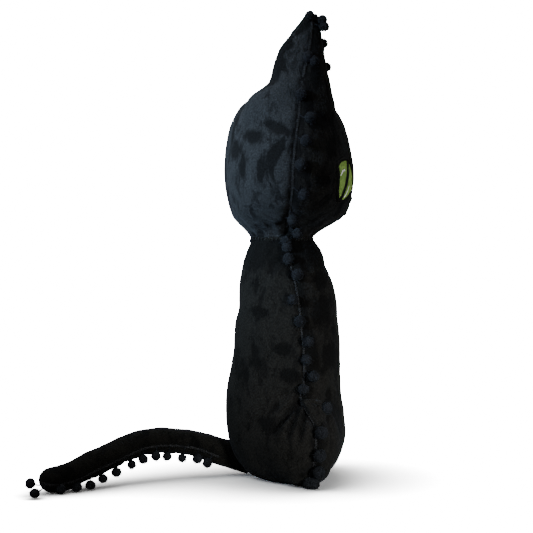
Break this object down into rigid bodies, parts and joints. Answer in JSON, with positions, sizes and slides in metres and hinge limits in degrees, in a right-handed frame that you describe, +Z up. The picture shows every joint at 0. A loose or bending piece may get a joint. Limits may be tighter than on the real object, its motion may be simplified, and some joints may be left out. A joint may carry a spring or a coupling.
{
  "type": "plush cat",
  "caption": "Standing black plush cat with a pear-shaped body, round head on a sewn neck, tall ears, embroidered eyes, long stuffed tail and pom-pom fringed seams.",
  "frame": {"origin": "on the flat face under the base that the cat stands on, at the middle of its width, below the middle of the neck to within 10 mm", "axes": "+Z up; the cat faces -Y; its right side is -X, and the tail lies behind it towards +Y and -X"},
  "size_m": [0.209, 0.2783, 0.4106],
  "materials": {
    "black_plush": "matte",
    "pompom_fringe": "matte",
    "fibre_filling": "matte",
    "bag_cloth": "matte",
    "black_thread": "satin",
    "green_thread": "satin",
    "white_thread": "satin"
  },
  "bodies": {
    "body": {"body_front_panel": "black_plush", "body_back_panel": "black_plush", "body_filling": "fibre_filling", "pellet_bag": "bag_cloth", "base_closing_seam": "black_thread", "body_trim_right": "pompom_fringe", "body_trim_left": "pompom_fringe", "hip_fold_right": "black_plush", "hip_fold_left": "black_plush"},
    "neck": {"neck_gather": "black_plush", "neck_filling": "fibre_filling", "neck_seam_ridge": "black_thread"},
    "head": {"head_front_panel": "black_plush", "head_back_panel": "black_plush", "head_filling": "fibre_filling", "crown_trim": "pompom_fringe", "nose_stitching": "black_thread", "mouth_stitching": "black_thread", "head_trim_right": "pompom_fringe", "head_trim_left": "pompom_fringe", "eye_right_outline": "black_thread", "eye_right_iris": "green_thread", "eye_right_pupil": "black_thread", "eye_right_comma": "white_thread", "eye_right_crescent": "white_thread", "eye_left_outline": "black_thread", "eye_left_iris": "green_thread", "eye_left_pupil": "black_thread", "eye_left_comma": "white_thread", "eye_left_crescent": "white_thread"},
    "ear_right": {"ear_right_front_panel": "black_plush", "ear_right_back_panel": "black_plush", "ear_right_filling": "fibre_filling", "ear_right_trim": "pompom_fringe"},
    "ear_left": {"ear_left_front_panel": "black_plush", "ear_left_back_panel": "black_plush", "ear_left_filling": "fibre_filling", "ear_left_trim": "pompom_fringe"},
    "tail_base": {"tail_base_cover": "black_plush", "tail_base_filling": "fibre_filling", "tail_base_trim": "pompom_fringe"},
    "tail_middle": {"tail_middle_cover": "black_plush", "tail_middle_filling": "fibre_filling", "tail_middle_trim": "pompom_fringe"},
    "tail_tip": {"tail_tip_cover": "black_plush", "tail_tip_filling": "fibre_filling", "tail_tip_trim": "pompom_fringe"}
  },
  "joints": [
    {"name": "head_turn", "type": "hinge", "parent": "body", "child": "neck", "pos_m": [0, 0.0085, 0.214], "axis": [0, 0, 1], "range_deg": [-30, 30], "stiffness_Nm_per_rad": 1.2, "deforming": ["neck_gather", "neck_filling"]},
    {"name": "head_nod", "type": "hinge", "parent": "neck", "child": "head", "pos_m": [0, 0.0085, 0.214], "axis": [1, 0, 0], "range_deg": [-10, 10], "stiffness_Nm_per_rad": 3},
    {"name": "ear_right_bend", "type": "hinge", "parent": "head", "child": "ear_right", "pos_m": [-0.049, -0.009, 0.348], "axis": [1, 0, 0], "range_deg": [-25, 25], "stiffness_Nm_per_rad": 0.15, "deforming": ["ear_right_front_panel", "ear_right_back_panel"]},
    {"name": "ear_left_bend", "type": "hinge", "parent": "head", "child": "ear_left", "pos_m": [0.049, -0.009, 0.348], "axis": [1, 0, 0], "range_deg": [-25, 25], "stiffness_Nm_per_rad": 0.15, "deforming": ["ear_left_front_panel", "ear_left_back_panel"]},
    {"name": "tail_swing", "type": "hinge", "parent": "body", "child": "tail_base", "pos_m": [0.007, 0.06266, 0.024], "axis": [0, 0, 1], "range_deg": [-25, 25], "stiffness_Nm_per_rad": 0.3},
    {"name": "tail_lift", "type": "hinge", "parent": "tail_base", "child": "tail_middle", "pos_m": [-0.02262, 0.1315, 0.03537], "axis": [0.8026, 0.5965, 0], "range_deg": [0, 40], "stiffness_Nm_per_rad": 0.3},
    {"name": "tail_curl", "type": "hinge", "parent": "tail_middle", "child": "tail_tip", "pos_m": [-0.07412, 0.18883, 0.01438], "axis": [0, 0, 1], "range_deg": [-35, 35], "stiffness_Nm_per_rad": 0.15}
  ]
}
